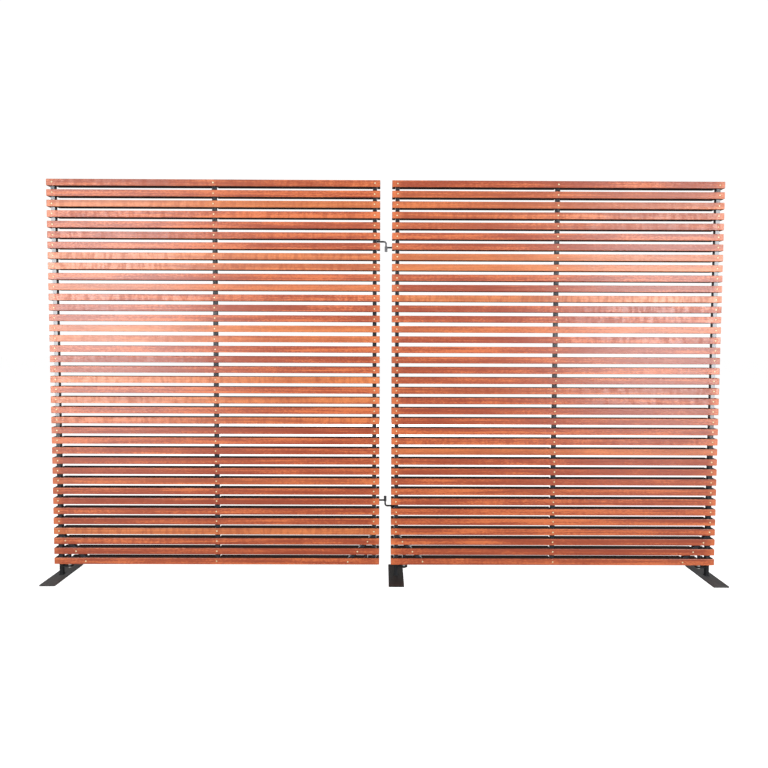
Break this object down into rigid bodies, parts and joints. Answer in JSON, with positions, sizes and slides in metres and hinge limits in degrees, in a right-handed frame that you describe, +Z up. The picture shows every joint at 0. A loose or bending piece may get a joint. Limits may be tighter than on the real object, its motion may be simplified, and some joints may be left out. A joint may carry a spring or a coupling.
{
  "type": "garden privacy screen",
  "caption": "Free-standing garden privacy screen: slatted hardwood panels on black steel frames, joined by lift-off pin hinges and standing on flat bolt-on feet.",
  "frame": {"origin": "on the ground, on the hinge axis between the two panels", "axes": "+X along the screen to the right seen from the screwed face, +Y away from that face, +Z up"},
  "size_m": [3.095, 0.25, 1.829],
  "materials": {
    "hardwood": "oiled reddish-orange hardwood, fine straight grain with some figured boards, satin",
    "frame_steel": "black powder coat, satin",
    "foot_steel": "dark mill-scale steel under a thin clear coat",
    "hinge_steel": "black painted round bar, worn bright on the bearing pin",
    "plated_steel": "bright zinc plating",
    "brass_screws": "pale yellow passivated countersunk screws",
    "black_plastic": "moulded black plastic"
  },
  "bodies": {
    "right_panel": {"centre_foot_plate": "foot_steel", "centre_foot_stem": "foot_steel", "centre_foot_tab": "foot_steel", "lower_hinge_pin": "hinge_steel", "right_bottom_rail": "frame_steel", "right_corner_nuts": "frame_steel", "right_foot_bolts": "plated_steel", "right_foot_plate": "foot_steel", "right_foot_spacers": "plated_steel", "right_foot_stem": "foot_steel", "right_foot_tab": "foot_steel", "right_inner_brace": "frame_steel", "right_inner_post": "frame_steel", "right_inner_screws": "brass_screws", "right_middle_post": "frame_steel", "right_middle_screws": "brass_screws", "right_outer_brace": "frame_steel", "right_outer_post": "frame_steel", "right_outer_screws": "brass_screws", "right_post_caps": "black_plastic", "right_slats_01_to_05": "hardwood", "right_slats_06_to_10": "hardwood", "right_slats_11_to_15": "hardwood", "right_slats_16_to_20": "hardwood", "right_slats_21_to_25": "hardwood", "right_slats_26_to_30": "hardwood", "right_slats_31_to_35": "hardwood", "right_slats_36_to_38": "hardwood", "right_top_rail": "frame_steel", "upper_hinge_arm": "hinge_steel", "upper_hinge_socket": "hinge_steel"},
    "left_panel": {"left_bottom_rail": "frame_steel", "left_corner_nuts": "frame_steel", "left_foot_bolts": "plated_steel", "left_foot_plate": "foot_steel", "left_foot_spacers": "plated_steel", "left_foot_stem": "foot_steel", "left_foot_tab": "foot_steel", "left_inner_brace": "frame_steel", "left_inner_post": "frame_steel", "left_inner_screws": "brass_screws", "left_middle_post": "frame_steel", "left_middle_screws": "brass_screws", "left_outer_brace": "frame_steel", "left_outer_post": "frame_steel", "left_outer_screws": "brass_screws", "left_post_caps": "black_plastic", "left_slats_01_to_05": "hardwood", "left_slats_06_to_10": "hardwood", "left_slats_11_to_15": "hardwood", "left_slats_16_to_20": "hardwood", "left_slats_21_to_25": "hardwood", "left_slats_26_to_30": "hardwood", "left_slats_31_to_35": "hardwood", "left_slats_36_to_38": "hardwood", "left_top_rail": "frame_steel", "lower_hinge_arm": "hinge_steel", "lower_hinge_socket": "hinge_steel", "upper_hinge_pin": "hinge_steel"}
  },
  "joints": [
    {"name": "panel_fold", "type": "hinge", "parent": "right_panel", "child": "left_panel", "pos_m": [0, 0, 0], "axis": [0, 0, 1], "range_deg": [-90, 105]}
  ]
}
